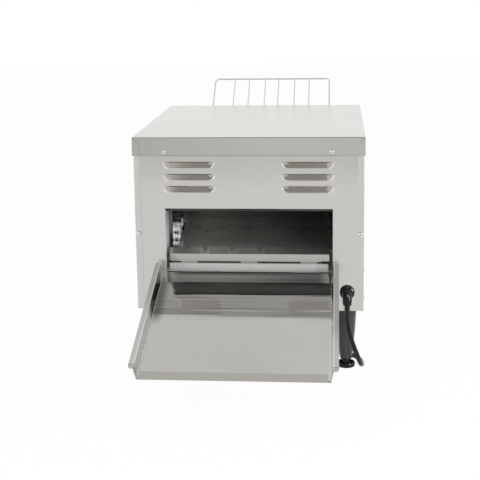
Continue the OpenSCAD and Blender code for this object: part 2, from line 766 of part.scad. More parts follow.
// a link with its two rollers, bored for the pins
module inner_link() {
    difference() {
        union() {
            for (u = [0, chain_pitch]) translate([u, 0, -3.2]) cylinder(r = roller_d / 2, h = 6.4);
            link_plate(3.1, 1.4);
            link_plate(-4.5, 1.4);
        }
        for (u = [0, chain_pitch]) translate([u, 0, -9]) cylinder(r = 1.95, h = 18);
    }
}

// a link with its two riveted pins
module outer_link() {
    link_plate(4.6, 1.3);
    link_plate(-5.9, 1.3);
    for (u = [0, chain_pitch]) translate([u, 0, -chain_half]) cylinder(r = 1.85, h = 2 * chain_half);
}

module drive_chain() color([0.75, 0.75, 0.72]) {
    pins = loop_pins(chain_pitch, chain_rows);
    // the loop's u axis runs up from the motor's sprocket
    translate([chain_x, drive_y, motor_z]) rotate([90, -90, 90]) for (i = [0 : len(pins) - 1]) {
        a = pins[i];
        b = pins[(i + 1) % len(pins)];
        translate([a.x, a.y, 0]) rotate(atan2(b.y - a.y, b.x - a.x)) {
            if (i % 2 == 0) inner_link();
            else outer_link();
        }
    }
}

// ---------- heating ----------

module tubes(z) {
    for (y = element_places) rod_x(-wall_x - 8, wall_x + 8, y, z, element_d / 2);
}
module upper_elements() color([0.85, 0.8, 0.72]) tubes(upper_z);
module lower_elements() color([0.85, 0.8, 0.72]) tubes(lower_z);

// ceramic caps that hold the tubes in the chamber walls, with their terminal pins
module element_caps() color([0.9, 0.88, 0.82]) {
    for (y = element_places, z = [upper_z, lower_z]) mirrored_x() difference() {
        union() {
            rod_x(wall_x - 4, wall_x + 14, y, z, cap_r);
            rod_x(wall_x + sheet, wall_x + 5, y, z, cap_r + 1.5);
            rod_x(wall_x + 13, wall_x + 22, y, z, 1.5);
        }
        rod_x(wall_x - 5, wall_x + 8.1, y, z, element_d / 2 + FIT);
    }
}

// ---------- drive ----------

// the gearbox stands against the bracket, and the motor's can and its end cap lie behind it
bracket_x = chain_x - 18;
bracket_t = 2;
bracket_half = 33;
bracket_foot = 26;
bracket_hole = bracket_foot - 7;
motor_screw_places = [drive_y - bracket_half + 8, drive_y + bracket_half - 8];
gearbox_len = 22;
can_len = 46;
boss_r = 9;
motor_shaft_r = 4;
module gear_motor() color([0.45, 0.45, 0.47]) {
    can_x = bracket_x - gearbox_len - can_len;
    difference() {
        union() {
            rod_x(bracket_x - gearbox_len, bracket_x, drive_y, motor_z, base_h / 2 - 3.5);
            rod_x(can_x, bracket_x - gearbox_len + 1, drive_y, motor_z, base_h / 2 - 7);
            rod_x(can_x - 4, can_x + 1, drive_y, motor_z, boss_r);
            rod_x(bracket_x - 1, bracket_x + bracket_t + 2, drive_y, motor_z, boss_r);
        }
        rod_x(bracket_x - gearbox_len + 6, bracket_x + 5, drive_y, motor_z, motor_shaft_r + run_gap);
    }
}

module motor_bracket() color([0.6, 0.6, 0.6]) {
    low = [bracket_x, drive_y - bracket_half, leg_h + sheet];
    difference() {
        union() {
            block(low, [bracket_x + bracket_t, drive_y + bracket_half, floor_z - 4]);
            block(low, [bracket_x + bracket_foot, drive_y + bracket_half, low.z + bracket_t]);
        }
        rod_x(bracket_x - 1, bracket_x + bracket_t + 1, drive_y, motor_z, boss_r + FIT);
        for (y = motor_screw_places) translate([bracket_x + bracket_hole, y, leg_h]) cylinder(r = 2, h = 5);
    }
}

module motor_shaft() color("gray")
    rod_x(bracket_x - gearbox_len + 7, chain_x + 5, drive_y, motor_z, motor_shaft_r);
module motor_sprocket() color([0.5, 0.5, 0.5]) chain_sprocket(motor_z, motor_shaft_r + 0.02);

// ---------- controls ----------

// three poles beside the rear left leg, where the cord comes in
module terminal_block() color([0.88, 0.87, 0.83]) {
    pole_pitch = 14;
    size = [18, 3 * pole_pitch + 2, 15];
    translate([leg_side - half_w + leg_d / 2, rear_y - leg_back - size.y, leg_h + sheet]) difference() {
        cube(size);
        for (i = [-1 : 1]) translate([size.x / 2, size.y / 2 + i * pole_pitch, 5])
            cylinder(r = 3.2, h = size.z);
    }
}

// a control with a bush through the panel and a bore for the knob's shaft
module control_body(x, r, h) {
    difference() {
        union() {
            rod_y(front_in, front_in + h, x, motor_z, r);
            rod_y(front_y - 1, front_in + 1, x, motor_z, 4.9);
        }
        rod_y(front_y - 2, front_in + 10, x, motor_z, control_d / 2 + run_gap);
    }
}
module speed_control() color([0.25, 0.25, 0.27]) control_body(knob_x, 13, 18);
module selector_switch() color([0.3, 0.3, 0.32]) {
    control_body(-knob_x, 15, 14);
    for (s = [-1, 1]) block([s * 8 - knob_x - 3, front_in + 13, motor_z - 9],
        [s * 8 - knob_x + 3, front_in + 26, motor_z + 9]);
}

// a knob with a skirt, finger flats and its own shaft
module knob(x) {
    back = front_y - 1.6;
    r = knob_d / 2;
    translate([x, back, motor_z]) rotate([90, 0, 0]) difference() {
        union() {
            cylinder(r = r, h = 3);
            translate([0, 0, 3 - FINE]) cylinder(r1 = r - 2, r2 = r - 4, h = knob_h - 3);
        }
        for (s = [-1, 1]) translate([s * 1.18 * r - r / 2, -r, 4]) cube([r, 2 * r, knob_h]);
    }
    rod_y(back - 1, front_in + 9, x, motor_z, control_d / 2);
}
module speed_knob() color([0.1, 0.1, 0.1]) knob(knob_x);
module selector_knob() color([0.1, 0.1, 0.1]) knob(-knob_x);

module pilot_lamps() color([0.9, 0.45, 0.1])
    for (x = lamp_places) translate([x, 0, motor_z]) {
        rod_y(front_y - 2, front_in + 12, 0, 0, 4.5);
        rod_y(front_y - 2, front_y, 0, 0, 6.5);
        intersection() {
            translate([0, front_y + 2, 0]) sphere(6.5);
            block([-9, front_y - 9, -9], [9, front_y - 1, 9]);
        }
    }

// ---------- feed side ----------

module rack_brackets() color([0.72, 0.72, 0.71]) {
    y = front_y - rack_stand;
    for (x = leg_x) difference() {
        union() {
            block([x - 5, y - 4, bracket_z], [x + 5, front_y, bracket_z + bracket_h]);
            rod_y(front_y - 1, front_in + 3, x, bracket_z + bracket_h / 2, 1.9);
        }
        translate([x, y, bracket_z - 1]) cylinder(r = rack_wire / 2 + run_gap, h = bracket_h + 2);
    }
}

// a wire bent to a U: two sloping sides, round corners, a top bar, and a leg at each lower end.
// Each bend runs through a ball hardly thicker than the wire.
module feed_rack() color([0.8, 0.8, 0.8]) {
    r = rack_wire / 2;
    straight = rack_len - rack_corner;
    translate([conveyor_x, front_y - rack_stand, rack_z]) {
        rotate([90 - rack_slope, 0, 0]) {
            mirrored_x() {
                translate([rack_w / 2, 0, 0]) cylinder(r = r, h = straight);
                for (p = [[0, 0], [0, straight], [-rack_corner, rack_len]])
                    translate([rack_w / 2 + p.x, 0, p.y]) sphere(r + FIT);
                translate([rack_w / 2 - rack_corner, 0, straight]) rotate([90, 0, 0])
                    rotate_extrude(angle = 90) translate([rack_corner, 0]) circle(r);
            }
            rod_x(rack_corner - rack_w / 2, rack_w / 2 - rack_corner, 0, rack_len, r);
            rod_x(-rack_w / 2, rack_w / 2, 0.4, 8, rack_inner / 2);
            for (x = wire_places) translate([x, r + rack_inner / 2 - 0.4, 5])
                cylinder(r = rack_inner / 2, h = rack_len - 5);
        }
        mirrored_x() translate([rack_w / 2, 0, 0]) {
            translate([0, 0, -rack_leg - 3]) cylinder(r = r, h = rack_leg + 3);
            translate([0, 0, -rack_leg + bracket_h + SEAT]) cylinder(r = r + 1.6, h = 2.5);
        }
    }
}

// the tray that catches the toast: a folded floor with leaning walls and lips, hooked into the rear
// opening
module catch_tray() color([0.74, 0.74, 0.73]) {
    half = tray_w / 2;
    back = rear_y + SEAT;
    lean = atan(tray_flare / tray_wall);
    lip_x = half + tray_flare;
    translate([tray_x, 0, 0]) {
        translate([0, back, tray_z]) rotate([-tray_slope, 0, 0]) {
            block([-half, SEAT, -sheet], [half, tray_len, 0]);
            block([4.5 - half, tray_len - sheet, -sheet], [half - 4.5, tray_len, tray_end]);
            mirrored_x() {
                translate([half, 1, -sheet]) rotate([0, lean, 0])
                    block([-sheet, 0, 0], [0, tray_len - 1, tray_wall + sheet / 2]);
                difference() {
                    block([lip_x - sheet, 1, tray_wall - sheet], [lip_x + tray_lip, tray_len, tray_wall]);
                    for (y = [1, tray_len]) translate([lip_x + tray_lip, y, tray_wall])
                        rotate(45) cube([5, 5, 4], center = true);
                }
            }
        }
        // flange that leans on the panel, and the hooks that go over the opening's edge
        block([-half, back, tray_z - tray_back], [half, back + sheet, tray_z - 0.2]);
        for (s = [-1, 1]) translate([s * hook_pitch / 2 - hook_w / 2, 0, 0]) {
            block([0, rear_in - SEAT - sheet, tray_z - sheet], [hook_w, back + sheet, tray_z]);
            block([0, rear_in - SEAT - sheet, tray_z - hook_h - sheet], [hook_w, rear_in - SEAT, tray_z]);
        }
    }
}

// the drawer under the belt, with a fascia and a rolled pull
module crumb_tray() color([0.72, 0.72, 0.7]) {
    y0 = front_y - SEAT;
    y1 = rear_y - crumb_back;
    difference() {
        block([-crumb_x, y0 - sheet, crumb_z], [crumb_x, y1, crumb_z + crumb_h]);
        block([sheet - crumb_x, y0, crumb_z + sheet], [crumb_x - sheet, y1 - sheet, crumb_z + crumb_h + 1]);
    }
    block([-crumb_x - 7, y0 - sheet, crumb_z - 5], [crumb_x + 7, y0, crumb_z + crumb_h + 7]);
    along_x(-pull_w / 2, pull_w / 2) translate([y0 - sheet, crumb_z + crumb_h - 3]) polygon(concat(
        [[0.2, 1], [-10, 1]], [for (a = [15 : 15 : 90]) [-10 - 3 * sin(a), -2 + 3 * cos(a)]],
        [[-13, -6], [-12, -6], [-12, -2]], [for (a = [75 : -15 : 15]) [-10 - 2 * sin(a), -2 + 2 * cos(a)]],
        [[-10, 0], [0.2, 0]]));
}

// ---------- legs and fastenings ----------

// a moulded leg: a swelling cone with a round lower end, bored for the foot's stem
module legs() color([0.22, 0.22, 0.23]) {
    r = leg_d / 2;
    h = leg_h - leg_z;
    for (p = leg_places) translate([p.x, p.y, leg_z]) difference() {
        union() {
            rotate_extrude() polygon([[0, 0], [8, 0], [9.4, 1], [10.3, 3], [r * 0.68, h * 0.14],
                [r * 0.77, h * 0.32], [r * 0.87, h * 0.52], [r * 0.95, h * 0.74], [r, h * 0.9],
                [r * 0.99, h], [0, h]]);
            translate([0, 0, h - 1]) cylinder(r = 5, h = 13);
        }
        translate([0, 0, -1]) cylinder(r = stem_d / 2 + run_gap, h = stem_z - leg_z + 5);
    }
}

module leg_nuts() color([0.6, 0.6, 0.6])
    for (p = leg_places) translate([p.x, p.y, leg_h + sheet]) difference() {
        cylinder(r = 9.2, h = 7, $fn = 6);
        translate([0, 0, -1]) cylinder(r = 5.05, h = 9);
    }

// a dished screw foot: rim, floor, hub and stem
module foot(i) {
    r = foot_d / 2;
    translate([leg_places[i].x, leg_places[i].y, 0]) rotate_extrude() polygon([[0, 0], [r - 1, 0], [r, 1],
        [r, foot_h - 1.5], [r - 1, foot_h], [r - 2.2, foot_h], [r - 3, 3.5], [7.5, 3], [6.5, hub_z],
        [stem_d / 2, hub_z], [stem_d / 2, stem_z - 1], [stem_d / 2 - 1, stem_z], [0, stem_z]]);
}
module front_left_foot() color([0.12, 0.12, 0.12]) foot(0);
module rear_left_foot() color([0.12, 0.12, 0.12]) foot(1);
module front_right_foot() color([0.12, 0.12, 0.12]) foot(2);
module rear_right_foot() color([0.12, 0.12, 0.12]) foot(3);

module side_screws() color([0.7, 0.7, 0.7]) mirrored_x() for (p = side_screw_places)
    translate([half_w, p.x, p.y]) rotate([0, 90, 0]) screw(6);

module motor_screws() color([0.7, 0.7, 0.7]) for (y = motor_screw_places)
    translate([bracket_x + bracket_hole, y, leg_h]) rotate([180, 0, 0]) screw(5);

module lid_screws() color([0.7, 0.7, 0.7]) screw_set(lid_screw_x, lid_screw_z, lid_gap + sheet);
module panel_screws() color([0.7, 0.7, 0.7]) screw_set(wrap_screw_x, wrap_screw_z, 0);

// four screws, two at the front and two at the rear, whose heads lie out from the body's faces
module screw_set(x, z, out) {
    mirrored_x() {
        translate([x, rear_y + out, z]) rotate([-90, 0, 0]) screw(6);
        translate([x, front_y - out, z]) rotate([90, 0, 0]) screw(6);
    }
}

// ---------- cord ----------

module cord_gland() color([0.1, 0.1, 0.1]) {
    r = gland_d / 2;
    translate([gland_x, rear_y, gland_z]) rotate([-90, 0, 0]) difference() {
        union() {
            rotate_extrude() polygon([[0, 0], [r, 0], [r, 2], [r - 1.5, 5], [r - 3, 6], [0, 6]]);
            translate([0, 0, -14]) cylinder(r = gland_d * 0.35 - FIT, h = 15);
            translate([0, 0, -sheet - 6]) cylinder(r = r - 1, h = 6, $fn = 6);
        }
        translate([0, 0, -15]) cylinder(r = cord_d / 2, h = 17);
    }
}

// the hooded boot that turns the cord down from the gland
module strain_relief() color([0.1, 0.1, 0.1])
    translate([gland_x, rear_y, gland_z]) {
        rod_y(6, cord_stand - boot_bend + 2, 0, 0, 7.5);
        translate([0, cord_stand - boot_bend + 2, -boot_bend + 2]) rotate([90, 0, 90])
            rotate_extrude(angle = 90) translate([boot_bend - 2, 0]) circle(7.5);
        translate([0, cord_stand, boot_z - gland_z])
            cylinder(r1 = 6.8, r2 = 7.5, h = gland_z - boot_z - boot_bend + 2);
    }

// cross product and unit vector
function unit(v) = v / norm(v);

// a tube of ten sides through the points, each ring square to the way through its point
module tube(points, r) {
    n = len(points);
    sides = 10;
    ways = [for (i = [0 : n - 1]) unit(points[min(i + 1, n - 1)] - points[max(i - 1, 0)])];
    rings = [for (i = [0 : n - 1]) let(a = unit(cross(ways[i], [0.3, 1, 0.2])), b = cross(ways[i], a))
        [for (k = [0 : sides - 1]) points[i] + r * (cos(k * 360 / sides) * a + sin(k * 360 / sides) * b)]];
    polyhedron([for (ring = rings) each ring], concat(
        [[for (k = [0 : sides - 1]) k]],
        [for (i = [0 : n - 2], k = [0 : sides - 1]) let(m = (k + 1) % sides)
            each [[i * sides + k, (i + 1) * sides + k, (i + 1) * sides + m],
                [i * sides + k, (i + 1) * sides + m, i * sides + m]]],
        [[for (k = [sides - 1 : -1 : 0]) (n - 1) * sides + k]]));
}

module power_cord() color([0.08, 0.08, 0.08]) translate([0, rear_y, 0]) tube(cord_route, cord_d / 2);
module cord_tail() color([0.08, 0.08, 0.08]) translate([0, rear_y, 0]) tube(tail_route, cord_d / 2);

module cord_coil() color([0.08, 0.08, 0.08])
    translate([coil_x, rear_y - coil_back, 1 + coil_h / 2]) rotate_extrude()
        translate([coil_r, 0]) round_rect(2 * cord_d, coil_h, cord_d / 2 - 0.5);

// a band round the coil
module cord_tie() color([0.15, 0.15, 0.15])
    translate([coil_x - coil_r, rear_y - coil_back, 1 + coil_h / 2]) along_y(-4, 4) difference() {
        round_rect(2 * cord_d + 2.4, coil_h + 1.9, cord_d / 2);
        round_rect(2 * cord_d + 0.7, coil_h + 0.2, cord_d / 2 - 0.4);
    }

// a moulded round plug lying on its rim and its boot's end
module plug() color([0.09, 0.09, 0.09]) {
    tilt = atan((plug_r - plug_end_r) / (plug_rim - 1));
    last = tail_route[len(tail_route) - 1] + [0, rear_y, 0];
    way = last - tail_route[len(tail_route) - 2] - [0, rear_y, 0];
    turn = atan2(way.y, way.x);
    translate([last.x, last.y, plug_end_r * cos(tilt) - sin(tilt)]) rotate([0, 90 - tilt, turn]) {
        rotate_extrude() polygon([[0, 0], [plug_end_r - 1, 0], [plug_end_r, 1], [7.5, 18], [9.5, 22],
            [plug_r - 4, 27], [plug_r, plug_rim], [plug_r, plug_len - 1.5], [plug_r - 1.5, plug_len],
            [0, plug_len]]);
        for (s = [-1, 1]) translate([0, s * 9.5, plug_len - 1]) {
            cylinder(r = 2.4, h = 18);
            translate([0, 0, 18]) sphere(2.4);
        }
    }
}

lid();
left_side_panel();
right_side_panel();
rear_panel();
front_panel();
base_pan();
chamber_floor();
left_chamber_wall();
right_chamber_wall();
inner_roof();
lower_reflector();
rear_guide();
toast_chute();
chute_pins();
belt_supports();
shaft_bushings();
conveyor_belt();
upper_elements();
lower_elements();
element_caps();
gear_motor();
motor_bracket();
drive_chain();
terminal_block();
selector_switch();
speed_control();
pilot_lamps();
rack_brackets();
legs();
leg_nuts();
lid_screws();
panel_screws();
side_screws();
motor_screws();
cord_gland();
strain_relief();
power_cord();
cord_coil();
cord_tie();
cord_tail();
plug();
drive_shaft();
drive_belt_sprockets();
drive_chain_sprocket();
drive_shaft_clips();
idler_shaft();
idler_belt_sprockets();
idler_shaft_clips();
motor_shaft();
motor_sprocket();
speed_knob();
selector_knob();
crumb_tray();
catch_tray();
feed_rack();
front_left_foot();
rear_left_foot();
front_right_foot();
rear_right_foot();
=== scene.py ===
"""Conveyor toaster: materials, details, cord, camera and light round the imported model.

Lengths are in metres, and MM turns millimetres into them. The camera looks at the rear, which faces +Y, so
the picture's left is +X.
"""
import itertools
import math

import bmesh
import bpy
from mathutils import Matrix, Vector


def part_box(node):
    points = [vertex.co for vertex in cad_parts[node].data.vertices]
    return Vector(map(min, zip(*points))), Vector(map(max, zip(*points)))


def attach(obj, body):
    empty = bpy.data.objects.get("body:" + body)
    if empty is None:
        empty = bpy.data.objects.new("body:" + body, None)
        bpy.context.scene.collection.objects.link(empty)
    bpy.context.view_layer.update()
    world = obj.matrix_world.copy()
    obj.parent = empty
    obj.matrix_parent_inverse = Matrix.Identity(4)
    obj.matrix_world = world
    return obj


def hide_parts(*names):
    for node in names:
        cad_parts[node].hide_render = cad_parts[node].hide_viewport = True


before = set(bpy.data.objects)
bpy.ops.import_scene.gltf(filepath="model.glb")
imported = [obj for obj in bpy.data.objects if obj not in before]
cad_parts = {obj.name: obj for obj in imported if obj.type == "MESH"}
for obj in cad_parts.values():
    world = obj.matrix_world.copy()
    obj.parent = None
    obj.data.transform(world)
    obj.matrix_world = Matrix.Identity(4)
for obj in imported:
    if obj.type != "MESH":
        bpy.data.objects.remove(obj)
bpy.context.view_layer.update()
MM = 0.001

# ---------- places read from the model ----------
PANEL_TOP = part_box("rear_panel")[1].z
REAR_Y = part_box("left_side_panel")[1].y
LID_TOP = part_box("lid")[1].z
LID_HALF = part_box("lid")[1].x
GLAND_X = sum(corner.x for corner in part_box("cord_gland")) / 2
BOOT_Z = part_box("strain_relief")[0].z
TRAY_X = sum(corner.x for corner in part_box("catch_tray")) / 2
SILL_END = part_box("chamber_floor")[1]

# ---------- driving sizes ----------
TRAY_LIPS = 138.1 * MM   # half the tray's width between its lips
TRAY_FOOT = 135.1 * MM   # half the width of the tray's floor, where its walls begin
END_LIP_RUN = 261.8 * MM   # from the rear panel to the tray's end lip
LIP_GAP = 3.5 * MM   # from the sill's top to the chute's lip
# the louvres' sizes and places, in millimetres
LOUVRE = {"x": 94, "width": 82, "height": 11, "pitch": 19.5, "rows": 3, "top": 346.9}

# ---------- camera ----------
LENS = 81.6   # in millimetres, as is the sensor's width
SENSOR = 36.0
SHIFT_Y = -0.1
CAMERA_PLACE = Vector((-0.137, REAR_Y + 1.682, 0.639))
HEADING, PITCH, ROLL = (math.radians(angle) for angle in (185.10, 11.38, 0.85))


def add_object(name, data):
    obj = bpy.data.objects.new(name, data)
    bpy.context.scene.collection.objects.link(obj)
    return obj


def make_camera():
    """The photograph's viewpoint: behind the machine, a little to its left side, looking down."""
    data = bpy.data.cameras.new("camera")
    data.sensor_width = SENSOR
    data.lens = LENS
    data.shift_y = SHIFT_Y
    data.clip_start = 0.05
    data.clip_end = 50.0
    camera = add_object("camera", data)
    turn = (Matrix.Rotation(HEADING, 4, "Z") @ Matrix.Rotation(math.pi / 2 - PITCH, 4, "X")
            @ Matrix.Rotation(-ROLL, 4, "Z"))
    camera.matrix_world = Matrix.Translation(CAMERA_PLACE) @ turn
    bpy.context.scene.camera = camera


make_camera()


# ---------- node helpers ----------
class Nodes:
    """A short way to build one material's node tree."""

    def __init__(self, name):
        self.mat = bpy.data.materials.new(name)
        self.mat.use_nodes = True
        self.tree = self.mat.node_tree
        self.tree.nodes.clear()
        self.out = self.tree.nodes.new("ShaderNodeOutputMaterial")
        self.shader = self.tree.nodes.new("ShaderNodeBsdfPrincipled")
        self.link(self.shader.outputs[0], self.out.inputs["Surface"])
        self.coords = self.tree.nodes.new("ShaderNodeTexCoord").outputs["Object"]

    def link(self, source, socket):
        self.tree.links.new(source, socket)

    def set(self, **values):
        """Constants on the shader, with underscores for the spaces in a socket's name."""
        for key, value in values.items():
            self.shader.inputs[key.replace("_", " ")].default_value = value

    def source(self, name):
        """What is linked to one of the shader's sockets so far."""
        return self.shader.inputs[name].links[0].from_socket

    def feed(self, socket, value):
        """Links a socket, or sets a number on it."""
        if isinstance(value, (int, float)):
            socket.default_value = value
        else:
            self.link(value, socket)

    def axis(self, name):
        """One of the object's coordinates, in metres."""
        n = self.tree.nodes.new("ShaderNodeSeparateXYZ")
        self.link(self.coords, n.inputs[0])
        return n.outputs[name]

    def noise(self, scale, detail=3.0, rough=0.5):
        """A noise whose scale is cycles per metre, or three of them."""
        n = self.tree.nodes.new("ShaderNodeTexNoise")
        vector = self.coords
        if isinstance(scale, tuple):
            mapping = self.tree.nodes.new("ShaderNodeMapping")
            mapping.inputs["Scale"].default_value = scale
            self.link(self.coords, mapping.inputs["Vector"])
            vector, scale = mapping.outputs[0], 1.0
        n.inputs["Scale"].default_value = scale
        n.inputs["Detail"].default_value = detail
        n.inputs["Roughness"].default_value = rough
        self.link(vector, n.inputs["Vector"])
        return n.outputs["Fac"]

    def spread(self, value, low, high, start=0.3, stop=0.7):
        """From low, where the value is at start, to high, where it is at stop."""
        n = self.tree.nodes.new("ShaderNodeMapRange")
        for key, v in (("From Min", start), ("From Max", stop), ("To Min", low), ("To Max", high)):
            n.inputs[key].default_value = v
        self.link(value, n.inputs["Value"])
        return n.outputs[0]

    def rise(self, value, start, stop):
        """A mask that grows from 0 to 1."""
        return self.spread(value, 0.0, 1.0, start, stop)

    def drop(self, value, start, stop):
        """A mask that falls from 1 to 0."""
        return self.spread(value, 1.0, 0.0, start, stop)

    def inverse(self, mask):
        return self.drop(mask, 0.0, 1.0)

    def band(self, value, start, full, ebb, stop):
        """1 from full to ebb, and 0 before start and after stop."""
        return self.least(self.rise(value, start, full), self.drop(value, ebb, stop))

    def math(self, op, a, b):
        n = self.tree.nodes.new("ShaderNodeMath")
        n.operation = op
        self.feed(n.inputs[0], a)
        self.feed(n.inputs[1], b)
        return n.outputs[0]

    def least(self, a, b):
        return self.math("MINIMUM", a, b)

    def most(self, a, b):
        return self.math("MAXIMUM", a, b)

    def times(self, a, b):
        return self.math("MULTIPLY", a, b)

    def minus(self, a, b):
        return self.math("SUBTRACT", a, b)

    def size(self, value):
        """A number without its sign."""
        return self.math("ABSOLUTE", value, 0.0)

    def mixed(self, kind, fac, a, b):
        """A mix of two colours, numbers or vectors, by a factor."""
        n = self.tree.nodes.new("ShaderNodeMix")
        n.data_type = {"VALUE": "FLOAT"}.get(kind, kind)
        self.feed(n.inputs["Factor"], fac)
        for key, v in (("A", a), ("B", b)):
            socket = next(s for s in n.inputs if s.name == key and s.type == kind)
            if isinstance(v, tuple):
                socket.default_value = (*v, 1.0)
            else:
                self.feed(socket, v)
        return next(s for s in n.outputs if s.type == kind)

    def mix(self, fac, a, b):
        return self.mixed("RGBA", fac, a, b)

    def blend(self, fac, a, b):
        return self.mixed("VALUE", fac, a, b)

    def color(self, value):
        self.link(value, self.shader.inputs["Base Color"])

    def rough(self, value):
        self.link(value, self.shader.inputs["Roughness"])

    def tint(self, mask, value):
        """Lays a colour over the base colour where the mask is 1."""
        self.color(self.mix(mask, self.source("Base Color"), value))

    def shade(self, factor):
        """Darkens the base colour by a factor."""
        self.color(self.mix(factor, (0.0, 0.0, 0.0), self.source("Base Color")))

    def lay_rough(self, mask, value):
        """Puts another roughness where the mask is 1."""
        self.rough(self.blend(mask, self.source("Roughness"), value))

    def lay_normal(self, mask, value):
        """Puts another normal where the mask is 1."""
        self.link(self.mixed("VECTOR", mask, self.source("Normal"), value), self.shader.inputs["Normal"])

    def bump(self, height, strength, distance):
        """Adds a relief to what the shader's normal has already."""
        n = self.tree.nodes.new("ShaderNodeBump")
        n.inputs["Strength"].default_value = strength
        n.inputs["Distance"].default_value = distance
        self.link(height, n.inputs["Height"])
        normal = self.shader.inputs["Normal"]
        if normal.links:
            self.link(self.source("Normal"), n.inputs["Normal"])
        self.link(n.outputs[0], normal)


# ---------- materials ----------
STEEL = (0.60, 0.59, 0.565)
# cycles per metre of the drawn lines, by the axis that they run along
GRAIN = {"x": (3.0, 900.0, 900.0), "y": (900.0, 3.0, 900.0), "z": (900.0, 900.0, 3.0)}
SMEAR_WIDTH = 14   # how much wider the faint streaks are than the drawn lines
# the tray floor's extra slope at the opening, then (metres from it, change of the slope's rate per metre)
DIP_START = -0.19
DIP_CHANGES = [(0.027, 46.0), (0.034, -46.2), (0.125, -0.80), (0.238, 1.0)]


def steel(name, tint, low=0.16, high=0.27, grain="x", depth=0.10, dull=0.0, metal=1.0):
    """Brushed stainless sheet: fine drawn lines, faint smears in the sheen, a slightly uneven tone."""
    n = Nodes(name)
    n.set(Metallic=metal)
    lines = n.noise(GRAIN[grain], detail=2.0, rough=0.6)
    wide = n.noise(tuple(v / SMEAR_WIDTH for v in GRAIN[grain]), detail=2.0)
    smear = n.noise(7.0, detail=4.0, rough=0.55)
    tone = n.math("ADD", n.spread(lines, -0.035, 0.035), n.spread(wide, -0.02, 0.02))
    tone = n.math("ADD", tone, n.spread(smear, 0.0, 1.0))
    dark = tuple(c * (0.93 - dull) for c in tint)
    n.color(n.mix(tone, dark, tint))
    n.rough(n.math("ADD", n.spread(smear, low, high), n.spread(lines, -0.03, 0.03)))
    n.bump(lines, depth, 0.04 * MM)
    return n


def panel_steel():
    """The rear panel's sheet, with painted shade towards its top below the lid's flange, and a darker,
    warmer tint on the louvres' hoods that is painted reflection and shade.
    """
    n = steel("panel_steel", STEEL)
    # painted shade: the sheet darkens towards its top, below the lid's flange
    n.shade(n.spread(n.axis("Z"), 1.0, 0.86, PANEL_TOP - 85 * MM, PANEL_TOP - 28 * MM))
    # painted reflection and shade: the hoods' faces tinted darker and warmer than the rest of the panel
    hoods = n.rise(n.axis("Y"), REAR_Y + 0.3 * MM, REAR_Y + 1.2 * MM)
    n.tint(hoods, (0.44, 0.425, 0.38))
    return n


def lid_steel():
    """The lid's satin sheet, with painted shade over the flange that deepens towards its left end, a thin
    line of painted shade along the fold, and the ground seams of its mitred corners."""
    n = steel("lid_steel", (0.57, 0.56, 0.535), low=0.28, high=0.32, depth=0.06)
    flange = n.drop(n.axis("Z"), LID_TOP - 2.0 * MM, LID_TOP - 0.8 * MM)
    down = n.minus(LID_TOP, n.axis("Z"))
    inward = n.minus(LID_HALF, n.size(n.axis("X")))
    mitre = n.drop(n.size(n.minus(inward, down)), 0.3 * MM, 0.8 * MM)
    seam = n.least(n.least(mitre, n.drop(down, 6 * MM, 9 * MM)), flange)
    fold = n.band(down, 0.2 * MM, 0.5 * MM, 1.1 * MM, 1.6 * MM)
    # the mitred seams are dark joints; the fold's thin dark line is painted shade
    n.shade(n.blend(n.most(seam, fold), 1.0, 0.5))
    # painted shade over the whole flange, deeper towards +X
    n.shade(n.blend(flange, 1.0, n.spread(n.axis("X"), 0.88, 0.78, 0.0, 170 * MM)))
    return n


def chute_steel():
    """The chute's sheet, with painted shade inside that deepens towards the machine's right, by the
    opening's jamb.
    """
    n = steel("chute_steel", (0.80, 0.785, 0.75), low=0.1, high=0.17, dull=0.05, metal=0.86)
    lip_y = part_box("toast_chute")[1].y
    lip = n.rise(n.axis("Y"), lip_y - 1.4 * MM, lip_y - 1.0 * MM)
    # painted shade: darker towards -X, where the opening's jamb on that side shades the chute
    jamb_shade = n.spread(n.axis("X"), 0.36, 1.0, -85 * MM, 90 * MM)
    n.shade(n.blend(lip, jamb_shade, 0.60))
    return n


def screw_zinc(name, axis, node):
    """Bright zinc on the domed heads, with painted shade in the cross and round the rim. The heads face
    both ways along the axis, so the depth under a head's crown is taken from the nearer end of the node."""
    n = steel(name, (0.90, 0.90, 0.88), low=0.1, high=0.18, depth=0.03)
    low, high = (getattr(corner, axis.lower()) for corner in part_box(node))
    depth = n.least(n.minus(high, n.axis(axis)), n.minus(n.axis(axis), low))
    # painted shade: darker with depth under the crown, in the cross recess and round the rim
    n.shade(n.spread(depth, 1.0, 0.03, 0.3 * MM, 0.9 * MM))
    return n


def chain_steel():
    """The chain's bright links, with painted shade that darkens them from 233 mm up, behind the rear guide.
    """
    n = steel("chain_steel", (0.92, 0.915, 0.89), low=0.42, high=0.55, grain="z", dull=0.05, metal=0.35)
    # painted shade: the links above 233 mm go nearly black
    n.shade(n.spread(n.axis("Z"), 1.0, 0.04, 233 * MM, 237 * MM))
    return n


